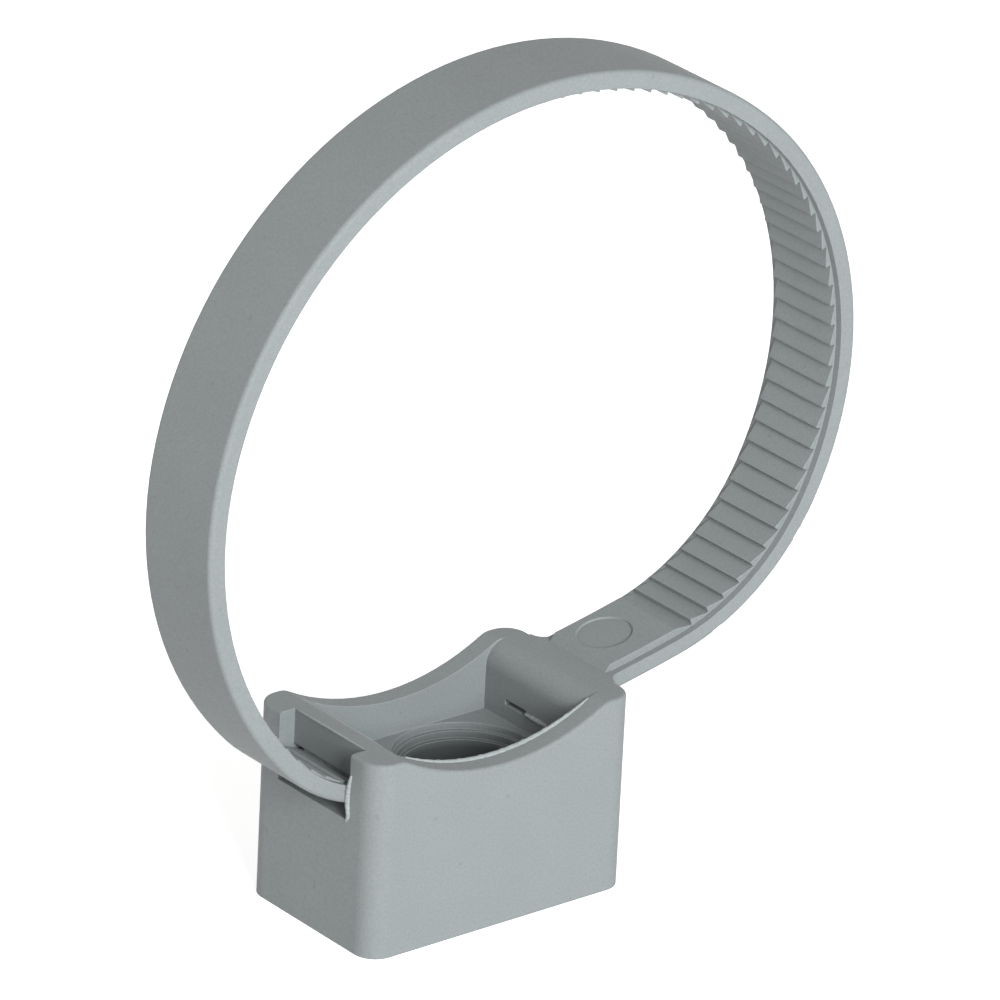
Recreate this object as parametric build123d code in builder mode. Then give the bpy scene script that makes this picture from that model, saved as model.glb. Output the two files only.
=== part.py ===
from build123d import *
from math import cos, degrees, radians, sin, sqrt
import os

# Pipe clip: a small mounting block with a saddle, a ratchet lock at its left end and a toothed
# strap that grows out of its right end, runs once round the pipe and ends in the lock.
# Millimetres. The origin is the axis of the screw hole at the underside of the block,
# +X runs from the lock to the root of the strap, +Y to the back and +Z up.

# Block
base_length = 26.5
base_width = 16.4
base_height = 17.2
hole_from_lock_end = 15.7
corner_radius = 2.0
rim_radius = 0.3

# Saddle that the pipe rests in
saddle_radius = 20.5
crest_length = 2.9
crest_radius = 2.0

# Pocket in the top of the block
side_wall = 2.0
root_wall = 4.1
pocket_floor = 11.3
root_wall_rounding = 2.0

# Lock: a slot open to the left and to the top, closed by a bridge with the pawl under it
bridge_recess = 1.5
bridge_thickness = 1.9
slot_clearance = 0.32
strap_lift = 0.45
pawl_clearance = 0.06
bridge_clearance = 0.15

# Slit low in the pocket's right wall
slit_width = 2.7
slit_height = 0.45
slit_off_centre = 2.15
slit_depth = 0.8
slit_above_floor = 1.4

# Screw hole with two shallow rings round its mouth
screw_hole_diameter = 5.5
screw_seat_height = 4.0
head_bore_diameter = 10.6
ring_diameters = (12.2, 11.4)
ring_step = 0.6

# Underside, cored out on both sides of the screw boss
underside_wall = 2.0
underside_roof = 2.3
boss_diameter = 13.6
rib_thickness = 1.6
rib_from_lock_end = 4.6
underside_corner = 1.0

# Strap: its route leaves the block level, lifts, runs on almost straight and then goes round
# in five arcs. The second and third of these close the loop: their radii are worked out below.
strap_width = 8.7
band_thickness = 1.5
band_edge_radius = 0.4
root_run = 0.48
root_overlap = 1.2
root_fillet = 1.2
lift_radius = 3.0
ramp_radius = 150.0
root_arc_radius = 19.2
top_turn_radius = 29.1
lock_arc_radius = 14.3
arc_turns = (10.9, 2.5, 49.7, 74.3, 123.1, 54.0, 45.5)
level_past_bridge = 1.95
tip_run = 1.6

# Ridge on the inner face of the strap, and its ratchet teeth
ridge_width = 7.3
ridge_height = 0.6
tip_tooth_height = 0.22
ridge_sink = 0.3
plain_length = 6.0
tip_lead = 1.2
tooth_pitch = 1.837
tooth_crest = 0.15
tooth_valley = 0.05
pawl_gap = 0.12
mark_diameter = 4.7
mark_depth = 0.15
mark_from_block = 3.8
mark_off_centre = 0.55

# Places worked out from the sizes above
lock_end_x = -hole_from_lock_end
root_end_x = lock_end_x + base_length
middle_x = (lock_end_x + root_end_x) / 2
saddle_reach = base_length / 2 - crest_length
saddle_axis_height = base_height + sqrt(saddle_radius**2 - saddle_reach**2)
bridge_left_x = lock_end_x + bridge_recess
bridge_right_x = bridge_left_x + bridge_thickness
pocket_right_x = root_end_x - root_wall
pocket_width = base_width - 2 * side_wall
slot_width = strap_width + 2 * slot_clearance


def turned(heading, turn):
    """Change of place along a tangent arc of radius 1 that starts at a heading."""
    end = radians(heading + turn)
    start = radians(heading)
    return sin(end) - sin(start), cos(start) - cos(end)


def closing_radii(gap_x, gap_z):
    """Radii of the side arc and the far arc that bring the strap's end to the lock."""
    headings = [sum(arc_turns[:count]) for count in range(len(arc_turns))]
    steps = [turned(heading, turn) for heading, turn in zip(headings, arc_turns)]
    known = (lift_radius, ramp_radius, root_arc_radius, 0, 0, top_turn_radius, lock_arc_radius)
    rest_x = gap_x - sum(radius * step[0] for radius, step in zip(known, steps))
    rest_z = gap_z - sum(radius * step[1] for radius, step in zip(known, steps))
    (ax, az), (bx, bz) = steps[3], steps[4]
    scale = ax * bz - bx * az
    return (rest_x * bz - bx * rest_z) / scale, (ax * rest_z - rest_x * az) / scale


# The route is the strap's inner face in side view
route_start = (root_end_x + root_run, base_height)
route_end = (bridge_right_x + level_past_bridge, pocket_floor + strap_lift + band_thickness)
side_radius, far_radius = closing_radii(
    route_end[0] - route_start[0], route_end[1] - route_start[1]
)
round_radii = (root_arc_radius, side_radius, far_radius, top_turn_radius, lock_arc_radius)
arc_radii = (lift_radius, ramp_radius, *round_radii)


def face_height(run):
    """Height of the strap's inner face at a run before the route turns level in the lock."""
    return route_end[1] + lock_arc_radius - sqrt(lock_arc_radius**2 - run**2)


def lay_arcs(start, heading, radii, turns):
    """Tangent arcs that start at a heading and follow one another."""
    direction = (cos(radians(heading)), sin(radians(heading)))
    arc = JernArc(start, direction, radii[0], turns[0])
    for radius, turn in zip(radii[1:], turns[1:]):
        arc = JernArc(arc @ 1, arc % 1, radius, turn)
    return arc


with BuildLine(Plane.XZ) as route:
    Line((root_end_x - root_overlap, base_height), route_start)
    last_arc = lay_arcs(route_start, 0, arc_radii, arc_turns)
    Line(last_arc @ 1, (last_arc @ 1) + (last_arc % 1) * tip_run)
inner_face = route.wire()
strap_length = inner_face.length


def along(distance, height):
    """Side view place at a distance along the route and a height above the inner face."""
    point = inner_face.position_at(distance, PositionMode.LENGTH)
    heading = inner_face.tangent_at(distance, PositionMode.LENGTH)
    return point.X - heading.Z * height, point.Z + heading.X * height


# The ridge starts where the lift ends. Its teeth are counted back from the one that stands
# behind the pawl.
lift_end = root_overlap + root_run + lift_radius * radians(arc_turns[0])
ramp_end = lift_end + ramp_radius * radians(arc_turns[1])
ridge_end = strap_length - tip_lead
latched_peak = strap_length - tip_run - level_past_bridge + pawl_gap
teeth_room = latched_peak - lift_end - plain_length
first_peak = latched_peak - int(teeth_room / tooth_pitch) * tooth_pitch


def tooth_height(distance):
    """Teeth shrink evenly from the plain zone to the tip."""
    share = (distance - first_peak) / (ridge_end - first_peak)
    return ridge_height + (tip_tooth_height - ridge_height) * share


def tooth_outline():
    """Ridge top from the plain zone to the tip: ramps that fall towards the tip."""
    peak = first_peak
    points = []
    while peak + tooth_pitch < ridge_end:
        points.append(along(peak + tooth_crest, tooth_height(peak)))
        peak = peak + tooth_pitch
        points.append(along(peak, tooth_valley))
        points.append(along(peak, tooth_height(peak)))
    points.append(along(ridge_end, tooth_valley))
    return points


# Block: the side view with the saddle, crossed with the rounded plan
with BuildPart() as block:
    with BuildSketch(Plane.XZ) as side_view:
        with Locations((middle_x, 0)):
            Rectangle(base_length, base_height, align=(Align.CENTER, Align.MIN))
        with Locations((middle_x, saddle_axis_height)):
            Circle(saddle_radius, mode=Mode.SUBTRACT)
        crests = side_view.vertices().group_by(Axis.Y)[-1].sort_by(Axis.X)[1:-1]
        fillet(crests, crest_radius)
    extrude(amount=base_width / 2, both=True)
    with BuildSketch(Plane.XY) as plan:
        with Locations((middle_x, 0)):
            RectangleRounded(base_length, base_width, corner_radius)
    extrude(amount=base_height, mode=Mode.INTERSECT)
    sides = block.faces().filter_by(lambda face: abs(face.normal_at().Z) < 0.001)
    rim = sides.edges().filter_by(Axis.Z, reverse=True).filter_by_position(
        Axis.Z, base_height / 2, base_height + rim_radius
    )
    fillet(rim, rim_radius)

    # Pocket, whose right wall rounds over into the top of the block
    with BuildSketch(Plane.XZ):
        with BuildLine():
            wall_top = (pocket_right_x, base_height - root_wall_rounding)
            rounding = JernArc(wall_top, (0, 1), root_wall_rounding, -90)
            Polyline(
                rounding @ 1,
                (pocket_right_x + root_wall_rounding, 2 * base_height),
                (bridge_right_x, 2 * base_height),
                (bridge_right_x, pocket_floor),
                (pocket_right_x, pocket_floor),
                wall_top,
            )
        make_face()
    extrude(amount=pocket_width / 2, both=True, mode=Mode.SUBTRACT)

    # Lock slot to the left of the bridge, and the passage with the pawl over it. The pawl's
    # tip dips between two teeth, and its ramp lets the strap slide in.
    pawl_tip = face_height(level_past_bridge) + tooth_valley + pawl_clearance
    ramp_run = level_past_bridge + bridge_thickness
    ramp_top = face_height(ramp_run) + tooth_height(strap_length - ramp_run) + bridge_clearance
    with BuildSketch(Plane.XZ):
        with BuildLine():
            Polyline(
                (lock_end_x - bridge_recess, pocket_floor),
                (bridge_right_x + bridge_recess, pocket_floor),
                (bridge_right_x + bridge_recess, pawl_tip),
                (bridge_right_x, pawl_tip),
                (bridge_left_x, ramp_top),
                (bridge_left_x, 2 * base_height),
                (lock_end_x - bridge_recess, 2 * base_height),
                close=True,
            )
        make_face()
    extrude(amount=slot_width / 2, both=True, mode=Mode.SUBTRACT)

    # Slit in the right wall
    with BuildSketch(Plane.YZ.offset(pocket_right_x)):
        with Locations((slit_off_centre, pocket_floor + slit_above_floor)):
            Rectangle(slit_width, slit_height, align=(Align.CENTER, Align.MIN))
    extrude(amount=slit_depth, mode=Mode.SUBTRACT)

    # Underside cores, which leave the outer wall, the screw boss and a cross rib
    with BuildSketch(Plane.XY):
        with Locations((middle_x, 0)):
            core_length = base_length - 2 * underside_wall
            core_width = base_width - 2 * underside_wall
            RectangleRounded(core_length, core_width, underside_corner)
        Circle(boss_diameter / 2, mode=Mode.SUBTRACT)
        with Locations((lock_end_x + rib_from_lock_end, 0)):
            Rectangle(rib_thickness, core_width, mode=Mode.SUBTRACT)
    extrude(amount=pocket_floor - underside_roof, mode=Mode.SUBTRACT)

    # Screw hole, its seat and the rings round its mouth
    with Locations((0, 0, pocket_floor)):
        head_depth = pocket_floor - screw_seat_height
        CounterBoreHole(screw_hole_diameter / 2, head_bore_diameter / 2, head_depth)
        for step, diameter in enumerate(ring_diameters, start=1):
            Cylinder(diameter / 2, 2 * step * ring_step, mode=Mode.SUBTRACT)

# Band of the strap: one section swept along the route, with rounded outer edges
with BuildPart() as strap:
    with BuildSketch(Plane(inner_face @ 0, x_dir=(0, 1, 0), z_dir=inner_face % 0)) as section:
        Rectangle(strap_width, band_thickness, align=(Align.CENTER, Align.MAX))
        fillet(section.vertices().group_by(Axis.Y)[0], band_edge_radius)
    sweep(path=inner_face)

    # Ridge with its plain zone and teeth, drawn in side view
    with BuildSketch(Plane.XZ) as ridge_side:
        with BuildLine():
            foot = along(lift_end, -ridge_sink)
            sunk_radii = [radius + ridge_sink for radius in arc_radii[1:]]
            sunk_end = lay_arcs(foot, arc_turns[0], sunk_radii, arc_turns[1:]) @ 1
            Polyline(sunk_end, along(ridge_end, -ridge_sink), along(ridge_end, tooth_valley))
            plain_radii = (ramp_radius - ridge_height, root_arc_radius - ridge_height)
            plain_turns = (arc_turns[1], degrees((first_peak - ramp_end) / root_arc_radius))
            head = along(lift_end, ridge_height)
            plain_end = lay_arcs(head, arc_turns[0], plain_radii, plain_turns) @ 1
            Polyline(plain_end, *tooth_outline())
            Line(foot, head)
        make_face()
    extrude(amount=ridge_width / 2, both=True)

    # Root: the strap flares into the end of the block
    with BuildSketch(Plane.XY.offset(base_height)):
        with BuildLine():
            flare_start = (root_end_x, strap_width / 2 + root_fillet)
            flare = JernArc(flare_start, (0, -1), root_fillet, 90)
            Polyline(
                flare @ 1,
                (root_end_x + root_fillet, 0),
                (root_end_x - root_overlap, 0),
                (root_end_x - root_overlap, strap_width / 2 + root_fillet),
                flare_start,
            )
        make_face()
        mirror(about=Plane.XZ)
    extrude(amount=band_edge_radius - band_thickness)

    # Round mark on the plain zone
    mark_distance = root_overlap + mark_from_block
    mark_x, mark_z = along(mark_distance, ridge_height - mark_depth)
    mark_heading = inner_face.tangent_at(mark_distance, PositionMode.LENGTH)
    mark_up = (-mark_heading.Z, 0, mark_heading.X)
    mark_plane = Plane((mark_x, mark_off_centre, mark_z), x_dir=(0, 1, 0), z_dir=mark_up)
    with BuildSketch(mark_plane):
        Circle(mark_diameter / 2)
    extrude(amount=ridge_height, mode=Mode.SUBTRACT)

# The whole clip is one moulding
with BuildPart() as pipe_clip:
    add(block.part)
    add(strap.part)

pipe_clip.part.label = "pipe_clip"
os.makedirs("parts", exist_ok=True)
export_step(pipe_clip.part, "parts/pipe_clip.step")
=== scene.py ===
import math

import bpy
from mathutils import Matrix, Vector


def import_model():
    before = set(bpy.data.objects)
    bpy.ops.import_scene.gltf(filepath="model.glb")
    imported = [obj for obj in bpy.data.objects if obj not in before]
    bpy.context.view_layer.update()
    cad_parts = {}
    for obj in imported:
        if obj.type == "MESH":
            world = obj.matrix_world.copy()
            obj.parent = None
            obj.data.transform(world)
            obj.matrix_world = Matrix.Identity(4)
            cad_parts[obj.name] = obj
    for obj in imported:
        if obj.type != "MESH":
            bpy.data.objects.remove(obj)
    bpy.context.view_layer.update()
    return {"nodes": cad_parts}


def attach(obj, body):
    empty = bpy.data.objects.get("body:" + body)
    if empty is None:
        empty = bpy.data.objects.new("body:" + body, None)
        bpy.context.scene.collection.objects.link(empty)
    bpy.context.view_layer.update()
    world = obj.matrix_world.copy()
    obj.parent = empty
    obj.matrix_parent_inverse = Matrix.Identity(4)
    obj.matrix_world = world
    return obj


# Moulded pipe clip on a plain floor. Metres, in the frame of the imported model.
MM = 0.001
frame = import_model()
CLIP = frame["nodes"]["pipe_clip"]

# Camera, worked out from the photograph
CAMERA_AZIMUTH = 39.45
CAMERA_ELEVATION = 23.93
CAMERA_ROLL = 2.86
CAMERA_AIM = Vector((0.696, -1.853, 34.458)) * MM
CAMERA_DISTANCE = 802.66 * MM
LENS = 360.0
SENSOR = 36.0
CLIP_START = 0.01
CLIP_END = 10.0

# Light: azimuth counts from the clip's front towards its right end
WORLD_LIGHT = 0.35
WORLD_COLOUR = (1.0, 0.985, 0.97)
KEY = {"azimuth": -15.0, "elevation": 22.0, "distance": 0.9, "size": 0.4, "power": 8.6}
KEY_COLOUR = (0.94, 1.0, 1.0)
FILL = {"azimuth": -80.0, "elevation": 10.0, "distance": 0.9, "size": 0.6, "power": 0.6}
FILL_COLOUR = (1.0, 0.98, 0.97)
BACK = {"azimuth": 180.0, "elevation": 4.0, "distance": 0.9, "size": 0.6, "power": 1.6}
BACK_COLOUR = (0.97, 1.0, 1.0)

# Colours, linear
PLASTIC = (0.306, 0.322, 0.328)
PLASTIC_DARK = (0.294, 0.309, 0.314)
# Painted highlight colour for sharp edges, also the darker cloudy tone of the flash
EDGE_HIGHLIGHT_AND_FLASH_DARK = (0.400, 0.424, 0.430)
FLASH = (0.46, 0.485, 0.49)
SPECK = (0.235, 0.248, 0.252)
# Painted shade for the deep screw bore, where shade falls
BORE_PAINTED_SHADE = (0.060, 0.064, 0.064)
WHITE = (1.0, 1.0, 1.0)
FLOOR = (0.86, 0.86, 0.86)

# Largest shares: of the speck colour in the grain and in the specks, and of the painted shade in
# the screw bore
GRAIN_SHARE = 0.35
SPECK_SHARE = 0.6
BORE_SHADE_SHARE = 0.75

# Finish of the plastic
PLASTIC_IOR = 1.5
PLASTIC_GLOSS = 0.15
PLASTIC_ROUGHNESS = (0.48, 0.66)

# The floor, and its own light where it is the background
FLOOR_SIZE = 3.0
FLOOR_ROUGHNESS = 0.9
FLOOR_LIFT = 0.68

# Sizes of the surface detail
GRAIN_SIZE = 0.20 * MM
CLOUD_SIZE = 6.0 * MM
SPECK_SIZE = 0.9 * MM
EDGE_RADIUS = 0.12 * MM
EDGE_SAMPLES = 6
GRAIN_DEPTH = 0.012 * MM
GRAIN_STRENGTH = 0.6
CLOUD_DEPTH = 0.03 * MM
CLOUD_STRENGTH = 0.25

# Fractal detail of the noises, and the ranges of their values that are used
CLOUD_DETAIL = 3.0
GRAIN_DETAIL = 2.0
SPECK_DETAIL = 1.0
CLOUD_RANGE = (0.3, 0.7)
GRAIN_RANGE = (0.38, 0.62)
SPECK_RANGE = (0.74, 0.77)
SHEEN_RANGE = (0.25, 0.75)

# Cosines between the face and the rounded edge, from no painted edge highlight to the full
# painted edge highlight
EDGE_HIGHLIGHT_RANGE = (0.98, 0.80)

# The screw bore is painted darker, as painted shade, from just under its mouth down to this
# height
BORE_SHADE_RADIUS = 6.3 * MM
BORE_SHADE_TOP = 11.25 * MM
BORE_SHADE_DEEP = 9.4 * MM
BORE_SHADE_EDGE = 0.1 * MM

# Flash and other small trim, in millimetres in the model's frame
SADDLE_AXIS_X = -2.45
SADDLE_AXIS_Z = 34.895
SADDLE_RADIUS = 20.5
RIM_START = -11.4
RIM_END = 7.4
RIM_Y = -6.22
RIM_STEPS = 60
RIM_THICKNESS = 0.46

LIP_X = -15.66
LIP_Y = -4.86
LIP_TOP = 15.4
LIP_FOOT = 11.1
LIP_BULGE = 0.36
LIP_HOOK = 0.55
LIP_HOOK_FROM = 0.78
LIP_STEPS = 32
LIP_THICKNESS = 0.54

SLIT_X = 6.68
SLIT_Z = 12.85
SLIT_START = 0.9
SLIT_END = -2.2
SLIT_STEPS = 12
SLIT_THICKNESS = 0.44

BRIDGE_FRONT_X = -14.17
BRIDGE_BACK_X = -12.33
BRIDGE_FRONT_Z = 17.16
BRIDGE_BACK_Z = 16.90
BRIDGE_HALF_LENGTH = 4.4
BRIDGE_STEPS = 40
BRIDGE_THICKNESS = 0.22

# A bead is thinner at its ends, and two waves along it make it uneven
BEAD_SIDES = 8
BEAD_END = 0.25
BEAD_UNEVEN = 0.18
BEAD_WAVES = (2.7, 0.9)
BEAD_PHASE = 1.0

# Slope at the front of the strap's ridge: its foot and its top as X and Z
ROOT_LOW = (11.20, 17.19)
ROOT_HIGH = (11.74, 17.84)
ROOT_BACK_X = 11.95
ROOT_DEPTH = 0.25
ROOT_WIDTH = 7.28


def camera():
    """Camera at the photograph's angle."""
    azimuth, elevation, roll = (
        math.radians(a) for a in (CAMERA_AZIMUTH, CAMERA_ELEVATION, CAMERA_ROLL)
    )
    right = Vector((math.cos(azimuth), -math.sin(azimuth), 0.0))
    forward = Vector((
        math.sin(azimuth) * math.cos(elevation),
        math.cos(azimuth) * math.cos(elevation),
        -math.sin(elevation),
    ))
    up = right.cross(forward)
    rolled_right = math.cos(roll) * right + math.sin(roll) * up
    rolled_up = math.cos(roll) * up - math.sin(roll) * right
    place = CAMERA_AIM - forward * CAMERA_DISTANCE
    turn = Matrix((rolled_right, rolled_up, -forward)).transposed()
    data = bpy.data.cameras.new("camera")
    data.lens = LENS
    data.sensor_width = SENSOR
    data.clip_start = CLIP_START
    data.clip_end = CLIP_END
    obj = bpy.data.objects.new("camera", data)
    obj.matrix_world = Matrix.Translation(place) @ turn.to_4x4()
    bpy.context.scene.collection.objects.link(obj)
    bpy.context.scene.camera = obj


def node(tree, kind, **values):
    """A shader node with its input values set by name."""
    made = tree.nodes.new(kind)
    for name, value in values.items():
        if name in made.inputs:
            made.inputs[name].default_value = value
        else:
            setattr(made, name, value)
    return made


def noise(tree, size, detail):
    """Noise in the model's own coordinates, with features of about the given size."""
    place = node(tree, "ShaderNodeTexCoord")
    made = node(tree, "ShaderNodeTexNoise", Scale=1.0 / size, Detail=detail)
    tree.links.new(place.outputs["Object"], made.inputs["Vector"])
    return made.outputs["Fac"]


def spread(tree, value, low, high, to_low=0.0, to_high=1.0):
    """Maps a range of a value onto another range, clamped."""
    made = node(tree, "ShaderNodeMapRange")
    names = ("From Min", "From Max", "To Min", "To Max")
    for name, number in zip(names, (low, high, to_low, to_high)):
        made.inputs[name].default_value = number
    tree.links.new(value, made.inputs["Value"])
    return made.outputs["Result"]


def combine(tree, operation, first, second):
    """Result of a math operation on a socket and another socket or a number."""
    made = node(tree, "ShaderNodeMath", operation=operation)
    tree.links.new(first, made.inputs[0])
    if isinstance(second, float):
        made.inputs[1].default_value = second
    else:
        tree.links.new(second, made.inputs[1])
    return made.outputs[0]


def mix(tree, share, first, second):
    """Colour mix of two colours or sockets by a share."""
    made = tree.nodes.new("ShaderNodeMix")
    made.data_type = "RGBA"
    tree.links.new(share, made.inputs["Factor"])
    for socket, value in ((made.inputs[6], first), (made.inputs[7], second)):
        if isinstance(value, tuple):
            socket.default_value = (*value, 1.0)
        else:
            tree.links.new(value, socket)
    return made.outputs[2]


def background_rays(tree):
    """One for the rays that see the background: camera, glossy and transmission rays."""
    path = tree.nodes.new("ShaderNodeLightPath")
    seen = path.outputs["Is Camera Ray"]
    for name in ("Is Glossy Ray", "Is Transmission Ray"):
        seen = combine(tree, "MAXIMUM", seen, path.outputs[name])
    return seen


def bore_painted_shade(tree):
    """Share of painted shade: none outside the screw bore, and more the deeper it gets."""
    place = node(tree, "ShaderNodeTexCoord")
    parts = node(tree, "ShaderNodeSeparateXYZ")
    tree.links.new(place.outputs["Object"], parts.inputs[0])
    flat = node(tree, "ShaderNodeVectorMath", operation="MULTIPLY")
    tree.links.new(place.outputs["Object"], flat.inputs[0])
    flat.inputs[1].default_value = (1.0, 1.0, 0.0)
    reach = node(tree, "ShaderNodeVectorMath", operation="LENGTH")
    tree.links.new(flat.outputs[0], reach.inputs[0])
    inside = spread(tree, reach.outputs["Value"], BORE_SHADE_RADIUS, BORE_SHADE_RADIUS - BORE_SHADE_EDGE)
    depth = spread(tree, parts.outputs["Z"], BORE_SHADE_TOP, BORE_SHADE_DEEP, 0.0, BORE_SHADE_SHARE)
    return combine(tree, "MULTIPLY", inside, depth)


def moulded_plastic(name, light, dark):
    """Matte grey plastic with a fine grain, faint cloudy tone, painted highlights on its edges
    and painted shade in the screw bore.
    """
    material = bpy.data.materials.new(name)
    material.use_nodes = True
    tree = material.node_tree
    shader = tree.nodes["Principled BSDF"]
    shader.inputs["IOR"].default_value = PLASTIC_IOR
    shader.inputs["Specular IOR Level"].default_value = PLASTIC_GLOSS

    cloud = noise(tree, CLOUD_SIZE, CLOUD_DETAIL)
    grain = noise(tree, GRAIN_SIZE, GRAIN_DETAIL)
    speck = noise(tree, SPECK_SIZE, SPECK_DETAIL)
    tone = mix(tree, spread(tree, cloud, *CLOUD_RANGE), dark, light)
    tone = mix(tree, spread(tree, grain, *GRAIN_RANGE, 0.0, GRAIN_SHARE), tone, SPECK)
    tone = mix(tree, spread(tree, speck, *SPECK_RANGE, 0.0, SPECK_SHARE), tone, SPECK)
    # Painted shade: the screw bore is darkened more the deeper it goes
    tone = mix(tree, bore_painted_shade(tree), tone, BORE_PAINTED_SHADE)

    # Painted highlight: sharp edges, found from the bevel normal, are painted a lighter colour
    bevel = node(tree, "ShaderNodeBevel", samples=EDGE_SAMPLES, Radius=EDGE_RADIUS)
    surface = tree.nodes.new("ShaderNodeNewGeometry")
    turn = node(tree, "ShaderNodeVectorMath", operation="DOT_PRODUCT")
    tree.links.new(bevel.outputs["Normal"], turn.inputs[0])
    tree.links.new(surface.outputs["Normal"], turn.inputs[1])
    edge = spread(tree, turn.outputs["Value"], *EDGE_HIGHLIGHT_RANGE)
    tone = mix(tree, edge, tone, EDGE_HIGHLIGHT_AND_FLASH_DARK)
    tree.links.new(tone, shader.inputs["Base Color"])
    rough = spread(tree, grain, *SHEEN_RANGE, *PLASTIC_ROUGHNESS)
    tree.links.new(rough, shader.inputs["Roughness"])

    coarse = node(tree, "ShaderNodeBump", Strength=CLOUD_STRENGTH, Distance=CLOUD_DEPTH)
    tree.links.new(cloud, coarse.inputs["Height"])
    tree.links.new(bevel.outputs["Normal"], coarse.inputs["Normal"])
    fine = node(tree, "ShaderNodeBump", Strength=GRAIN_STRENGTH, Distance=GRAIN_DEPTH)
    tree.links.new(grain, fine.inputs["Height"])
    tree.links.new(coarse.outputs["Normal"], fine.inputs["Normal"])
    tree.links.new(fine.outputs["Normal"], shader.inputs["Normal"])
    return material


def piece(name, corners, faces, material, smooth=False):
    """New piece of the moulding from its corners and faces."""
    mesh = bpy.data.meshes.new(name)
    mesh.from_pydata(corners, [], faces)
    for face in mesh.polygons:
        face.use_smooth = smooth
    mesh.materials.append(material)
    obj = bpy.data.objects.new(name, mesh)
    bpy.context.scene.collection.objects.link(obj)
    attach(obj, "root")


def bead(name, points, thickness, material):
    """Thin closed ridge of flash along a line of points in millimetres, with tapered ends."""
    points = [Vector(point) * MM for point in points]
    count = len(points)
    corners = []
    for step, point in enumerate(points):
        before = points[max(step - 1, 0)]
        after = points[min(step + 1, count - 1)]
        along = (after - before).normalized()
        across = along.orthogonal().normalized()
        other = along.cross(across)
        taper = BEAD_END + (1.0 - BEAD_END) * math.sin(math.pi * (step + 0.5) / count) ** 0.5
        first_wave = math.sin(BEAD_WAVES[0] * step)
        second_wave = math.sin(BEAD_WAVES[1] * step + BEAD_PHASE)
        uneven = 1.0 + BEAD_UNEVEN * first_wave * second_wave
        radius = 0.5 * thickness * MM * taper * uneven
        for side in range(BEAD_SIDES):
            angle = 2 * math.pi * side / BEAD_SIDES
            corners.append(point + radius * (math.cos(angle) * across + math.sin(angle) * other))
    faces = []
    for step in range(count - 1):
        for side in range(BEAD_SIDES):
            following = (side + 1) % BEAD_SIDES
            low, high = step * BEAD_SIDES, (step + 1) * BEAD_SIDES
            faces.append((low + side, low + following, high + following, high + side))
    faces.append(tuple(reversed(range(BEAD_SIDES))))
    faces.append(tuple(range((count - 1) * BEAD_SIDES, count * BEAD_SIDES)))
    piece(name, corners, faces, material, smooth=True)


def between(start, end, steps):
    """Evenly spaced numbers from start to end, both included."""
    return [start + (end - start) * step / steps for step in range(steps + 1)]


def rim_flash(material):
    """Flash along the inner edge of the saddle's near rim."""
    points = []
    for x in between(RIM_START, RIM_END, RIM_STEPS):
        z = SADDLE_AXIS_Z - math.sqrt(SADDLE_RADIUS**2 - (x - SADDLE_AXIS_X) ** 2)
        points.append((x, RIM_Y, z))
    bead("rim_flash", points, RIM_THICKNESS, material)


def slot_flash(material):
    """Flash down the slot's near side at the end face, bent out at its foot."""
    points = []
    for share in between(0.0, 1.0, LIP_STEPS):
        past_hook = max(0.0, (share - LIP_HOOK_FROM) / (1.0 - LIP_HOOK_FROM))
        y = LIP_Y + LIP_BULGE * math.sin(math.pi * share) + LIP_HOOK * past_hook**2
        points.append((LIP_X, y, LIP_TOP + (LIP_FOOT - LIP_TOP) * share))
    bead("slot_flash", points, LIP_THICKNESS, material)


def slit_flash(material):
    """Flash that runs on from the slit in the pocket's right wall."""
    points = [(SLIT_X, y, SLIT_Z) for y in between(SLIT_START, SLIT_END, SLIT_STEPS)]
    bead("slit_flash", points, SLIT_THICKNESS, material)


def bridge_flash(name, x, z, material):
    """Fine flash along one upper edge of the lock's bridge."""
    places = between(-BRIDGE_HALF_LENGTH, BRIDGE_HALF_LENGTH, BRIDGE_STEPS)
    bead(name, [(x, y, z) for y in places], BRIDGE_THICKNESS, material)


def root_slope(material):
    """Slope that eases the front of the strap's ridge out of the block's top."""
    (low_x, low_z), (high_x, high_z) = ROOT_LOW, ROOT_HIGH
    base_z = low_z - ROOT_DEPTH
    outline = [(low_x, base_z), (low_x, low_z), (high_x, high_z)]
    outline += [(ROOT_BACK_X, high_z), (ROOT_BACK_X, base_z)]
    half = ROOT_WIDTH / 2
    corners = [Vector((x, y, z)) * MM for y in (-half, half) for x, z in outline]
    count = len(outline)
    faces = [tuple(reversed(range(count))), tuple(range(count, 2 * count))]
    for side in range(count):
        following = (side + 1) % count
        faces.append((side, following, following + count, side + count))
    piece("root_slope", corners, faces, material)


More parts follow.
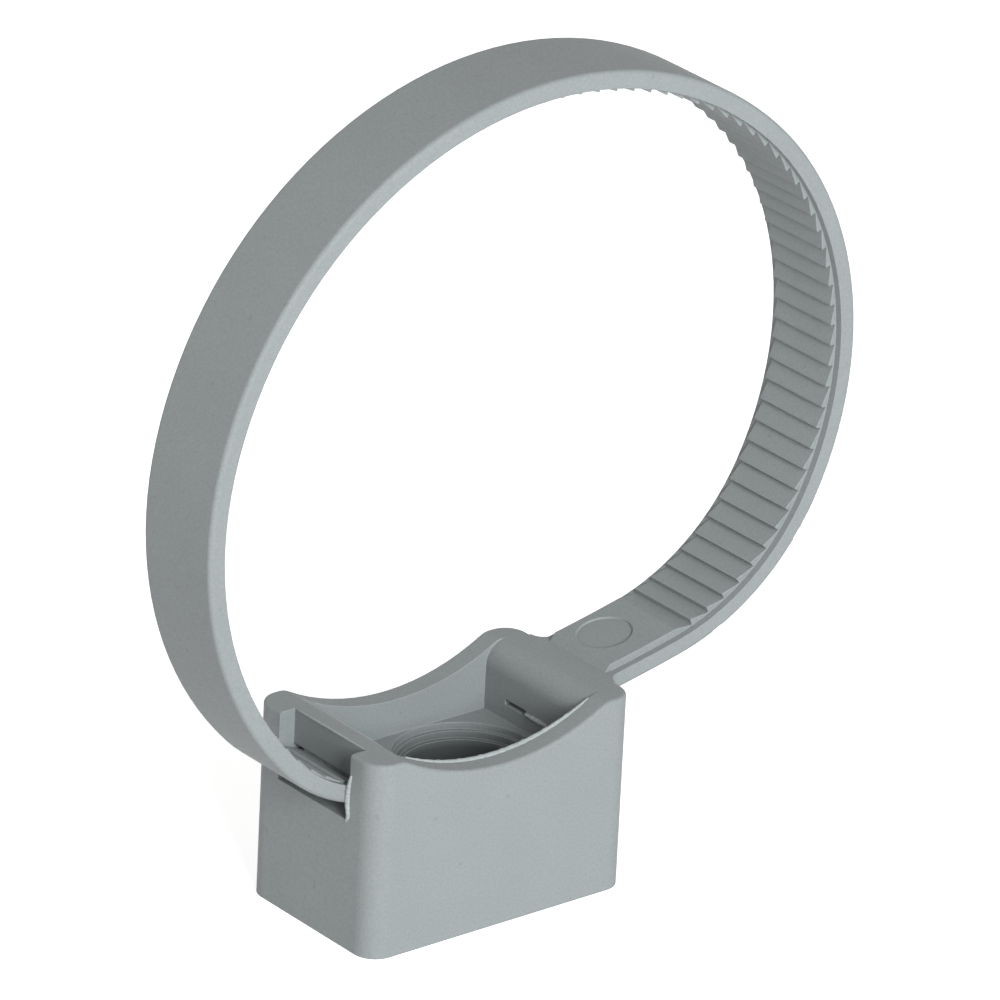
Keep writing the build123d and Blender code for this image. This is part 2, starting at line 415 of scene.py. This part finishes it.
def floor():
    """Plain white floor that keeps the clip's shadow."""
    mesh = bpy.data.meshes.new("floor")
    half = FLOOR_SIZE / 2
    corners = [(-half, -half, 0.0), (half, -half, 0.0), (half, half, 0.0), (-half, half, 0.0)]
    mesh.from_pydata(corners, [], [(0, 1, 2, 3)])
    obj = bpy.data.objects.new("floor", mesh)
    bpy.context.scene.collection.objects.link(obj)
    material = bpy.data.materials.new("floor")
    material.use_nodes = True
    tree = material.node_tree
    shader = tree.nodes["Principled BSDF"]
    shader.inputs["Base Color"].default_value = (*FLOOR, 1.0)
    shader.inputs["Roughness"].default_value = FLOOR_ROUGHNESS
    shader.inputs["Specular IOR Level"].default_value = 0.0
    shader.inputs["Emission Color"].default_value = (*WHITE, 1.0)
    lift = combine(tree, "MULTIPLY", background_rays(tree), FLOOR_LIFT)
    tree.links.new(lift, shader.inputs["Emission Strength"])
    mesh.materials.append(material)


def world():
    """Even light from all round, with a white background."""
    made = bpy.data.worlds.new("studio")
    made.use_nodes = True
    tree = made.node_tree
    background = tree.nodes["Background"]
    background.inputs["Color"].default_value = (*WORLD_COLOUR, 1.0)
    strength = spread(tree, background_rays(tree), 0.0, 1.0, WORLD_LIGHT, 1.0)
    tree.links.new(strength, background.inputs["Strength"])
    bpy.context.scene.world = made


def lamp(name, colour, azimuth, elevation, distance, size, power):
    """Soft square lamp that looks at the clip from a direction round it."""
    around, rise = math.radians(azimuth), math.radians(elevation)
    direction = Vector((
        math.sin(around) * math.cos(rise), -math.cos(around) * math.cos(rise), math.sin(rise)
    ))
    data = bpy.data.lights.new(name, "AREA")
    data.size = size
    data.energy = power
    data.color = colour
    obj = bpy.data.objects.new(name, data)
    obj.location = CAMERA_AIM + direction * distance
    obj.rotation_euler = direction.to_track_quat("Z", "Y").to_euler()
    bpy.context.scene.collection.objects.link(obj)


camera()
world()
floor()
lamp("key", KEY_COLOUR, **KEY)
lamp("fill", FILL_COLOUR, **FILL)
lamp("back", BACK_COLOUR, **BACK)
bpy.context.scene.view_settings.view_transform = "Standard"

plastic = moulded_plastic("moulded_plastic", PLASTIC, PLASTIC_DARK)
flash_plastic = moulded_plastic("flash_plastic", FLASH, EDGE_HIGHLIGHT_AND_FLASH_DARK)
CLIP.data.materials.clear()
CLIP.data.materials.append(plastic)
for face in CLIP.data.polygons:
    face.material_index = 0
root_slope(plastic)
rim_flash(flash_plastic)
slot_flash(flash_plastic)
slit_flash(flash_plastic)
bridge_flash("bridge_front_flash", BRIDGE_FRONT_X, BRIDGE_FRONT_Z, flash_plastic)
bridge_flash("bridge_back_flash", BRIDGE_BACK_X, BRIDGE_BACK_Z, flash_plastic)
